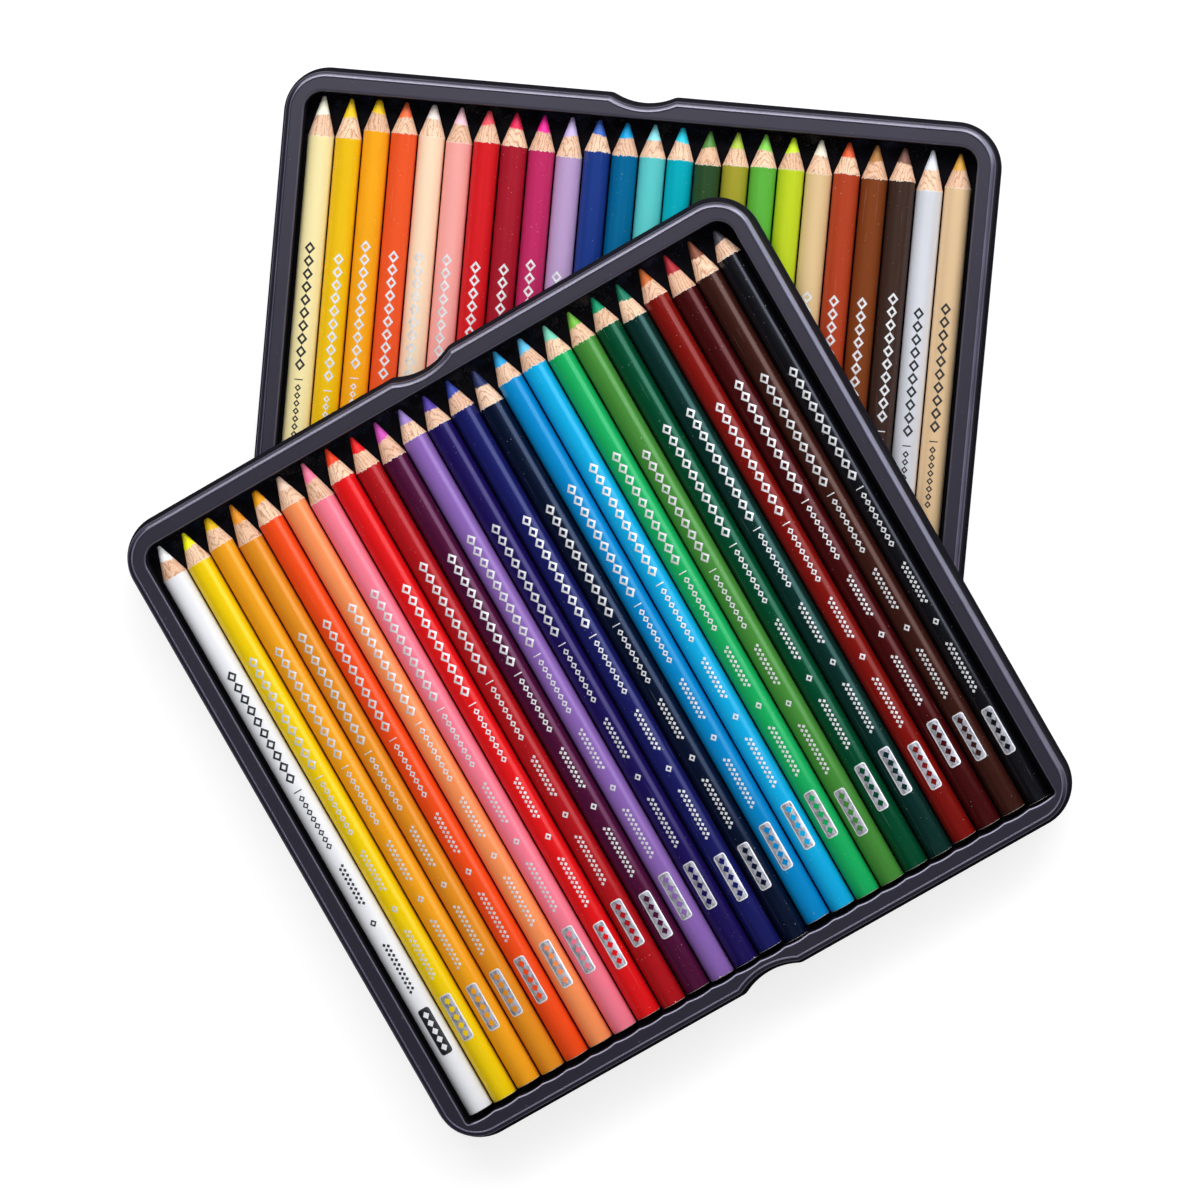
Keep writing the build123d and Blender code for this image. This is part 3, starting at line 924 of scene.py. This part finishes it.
def flatMarks():
    # all marks in one plane in millimetres, X across the pencil and -Y along it
    bm = bmesh.new()
    layPanel(bm)
    layPlate(bm, foil["bar"]["from"], foil["bar"]["length"], foil["bar"]["width"])
    for row in foil["rows"]:
        for i in range(row["count"]):
            lozenge(
                bm, row["from"] + i * row["step"], row.get("across", 0), row["length"], row["width"],
                row.get("line", 0),
            )
    for i in range(-3, 4):
        # cuts along the pencil, where the marks bend
        bmesh.ops.bisect_plane(
            bm, geom=bm.verts[:] + bm.edges[:] + bm.faces[:], plane_co=(i * foil["bend"], 0, 0),
            plane_no=(1, 0, 0), dist=1e-4,
        )
    bmesh.ops.scale(bm, verts=bm.verts, vec=(mm, mm, mm))
    grown = bmesh.ops.extrude_face_region(bm, geom=bm.faces[:])["geom"]
    bmesh.ops.translate(bm, verts=movedVerts(grown), vec=(0, 0, foil["under"] + foil["above"]))
    bmesh.ops.translate(bm, verts=bm.verts, vec=(0, 0, -foil["under"]))
    bmesh.ops.recalc_face_normals(bm, faces=bm.faces)
    return bm


def wrapMarks(pencil, chance):
    # bends the flat marks round the barrel
    bm = markTemplate.copy()
    radius = pencil["radius"]
    roll = chance.uniform(*foil["roll"])
    slide = chance.uniform(*foil["slide"]) * mm
    for vert in bm.verts:
        angle = vert.co.x / radius + roll
        away = radius + vert.co.z
        vert.co = (away * math.sin(angle), vert.co.y + slide, away * math.cos(angle))
    return bm


def foilMaterial(kind):
    look = foilFinishes[kind]
    finish = {"Metallic": look["metal"], "Specular IOR Level": 0.5}
    material, tree, shader = newMaterial("foil_" + kind, finish)
    stick = attributeVector(tree, "stick")
    mottled = speckle(tree, stretched(tree, stick, (0.9, 0.45, 0.9)), 1.0, 3.0, 0.6)
    pits = stepped(tree, speckle(tree, stick, 3.2, 2.0), 0.62, 0.7)
    worn = linear([min(255, c * look["worn"]) for c in look["colour"]])
    colour = mixed(tree, stepped(tree, mottled, 0.42, 0.7), linear(look["colour"]), worn)
    colour = mixed(tree, times(tree, pits, 0.5), colour, worn)
    tree.links.new(colour, shader.inputs["Base Color"])
    tree.links.new(mixedValue(tree, mottled, 0.28, 0.5), shader.inputs["Roughness"])
    bumped(tree, shader, mottled, 0.03 * mm, 0.5)
    return material


def makePencils():
    foils = {kind: foilMaterial(kind) for kind in foilFinishes}
    chance = random.Random(24)
    for pencil in pencils:
        look = palette[pencil["colour"]]
        seed = pencil["number"] + (0.5 if pencil["side"] == "rear" else 0.0)
        place = places[pencil["side"]] @ Matrix.Translation(pencil["tip"])
        bm = pencilShape(pencil)
        keepLocal(bm, "stick")
        piece = finished(pencil["node"] + "_body", bm, place)
        piece.data.materials.append(pencilMaterial(pencil, seed))
        marks = wrapMarks(pencil, chance)
        keepLocal(marks, "stick")
        stamped = finished(pencil["node"] + "_foil", marks, place, sharpFrom=60)
        for part in ("", "Field"):
            stamped.data.materials.append(foils[look.get("mark", "silver") + part])
        for made in (piece, stamped):
            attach(made, pencil["node"])
        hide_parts(pencil["node"])
    print("pencils made:", len(pencils))


markTemplate = flatMarks()
makePencils()


# Table, light and camera

studio = {
    "floorColour": (170, 170, 171),
    "floorGlow": 0.74,
    "fill": 0.34,
    "horizon": (0.03, 0.3),
    "ceiling": 0.05,
}

lamps = [
    {"name": "key", "spot": (-0.145, 0.87, 1.0), "aim": (0, 0.05, 0), "size": (1.6, 0.56), "power": 15.0},
    {
        "name": "side", "spot": (0.537, 0.769, 0.64), "aim": (-0.172, 0.245, 0), "size": (1.1, 0.66),
        "power": 4.4,
    },
    {
        "name": "streak", "spot": (0.573, 0.718, 0.64), "aim": (-0.136, 0.194, 0), "size": (0.7, 0.8),
        "power": 4.6, "glossOnly": True, "tint": (0.8, 0.92, 1.0),
    },
    {
        "name": "lower", "spot": (0.384, -0.59, 0.97), "aim": (0, 0, 0), "size": (1.0, 0.35),
        "power": 0.9, "glossOnly": True,
    },
    {
        "name": "sheen", "spot": (-0.18, 0.6, 1.1), "aim": (0, 0.05, 0), "size": (0.55, 0.55),
        "power": 3.2, "glossOnly": True,
    },
]


def addLight(name, spot, aim, size, power, glossOnly=False, tint=(1, 1, 1)):
    data = bpy.data.lights.new(name, "AREA")
    data.shape = "RECTANGLE"
    data.size, data.size_y = size
    data.energy, data.color = power, tint
    light = bpy.data.objects.new(name, data)
    bpy.context.scene.collection.objects.link(light)
    light.location = spot
    light.rotation_euler = (Vector(aim) - Vector(spot)).to_track_quat("-Z", "Y").to_euler()
    light.visible_camera = False
    light.visible_diffuse = not glossOnly


def makeFloor():
    bm = bmesh.new()
    bmesh.ops.create_grid(bm, x_segments=8, y_segments=8, size=3.0)
    floor = finished("floor", bm, Matrix.Identity(4))
    material, tree, shader = newMaterial("floor_paper", {"Roughness": 0.9, "Specular IOR Level": 0.1})
    spot = addNode(tree, "TexCoord").outputs["Object"]
    paper, paler = [linear([c + more for c in studio["floorColour"]]) for more in (0, 3)]
    tone = mixed(tree, speckle(tree, spot, 3.0), paper, paler)
    tree.links.new(tone, shader.inputs["Base Color"])
    shader.inputs["Emission Color"].default_value = (1, 1, 1, 1)
    seen = addNode(tree, "LightPath").outputs["Is Camera Ray"]
    tree.links.new(times(tree, seen, studio["floorGlow"]), shader.inputs["Emission Strength"])
    floor.data.materials.append(material)


def makeWorld():
    world = bpy.data.worlds.new("studio")
    world.use_nodes = True
    tree = world.node_tree
    background = tree.nodes["Background"]
    rays = addNode(tree, "LightPath").outputs
    background.inputs["Color"].default_value = (1, 1, 1, 1)

    # the pale backdrop shows to the camera and low in reflections, a dim ceiling above
    direction = addNode(tree, "TexCoord").outputs["Generated"]
    upward = addNode(tree, "SeparateXYZ", {0: direction}).outputs["Z"]
    mirrored = mixedValue(tree, stepped(tree, upward, *studio["horizon"]), 1.0, studio["ceiling"])
    gloss = larger(tree, rays["Is Glossy Ray"], rays["Is Transmission Ray"])
    strength = mixedValue(tree, gloss, studio["fill"], mirrored)
    strength = mixedValue(tree, rays["Is Camera Ray"], strength, 1.0)
    tree.links.new(strength, background.inputs["Strength"])
    bpy.context.scene.world = world


camera = {
    "eye": (0.085, 0.080, 1.4),
    "turn": (-2.7225, 3.8, 5.13),
    "lens": 155.56,
}


def makeCamera():
    data = bpy.data.cameras.new("camera")
    data.lens, data.sensor_width = camera["lens"], 36
    eye = bpy.data.objects.new("camera", data)
    bpy.context.scene.collection.objects.link(eye)
    eye.location = camera["eye"]
    eye.rotation_euler = [math.radians(angle) for angle in camera["turn"]]
    bpy.context.scene.camera = eye


makeFloor()
makeWorld()
makeCamera()
for lamp in lamps:
    addLight(**lamp)
bpy.context.scene.view_settings.view_transform = "Standard"
print("stage, lights and camera set")
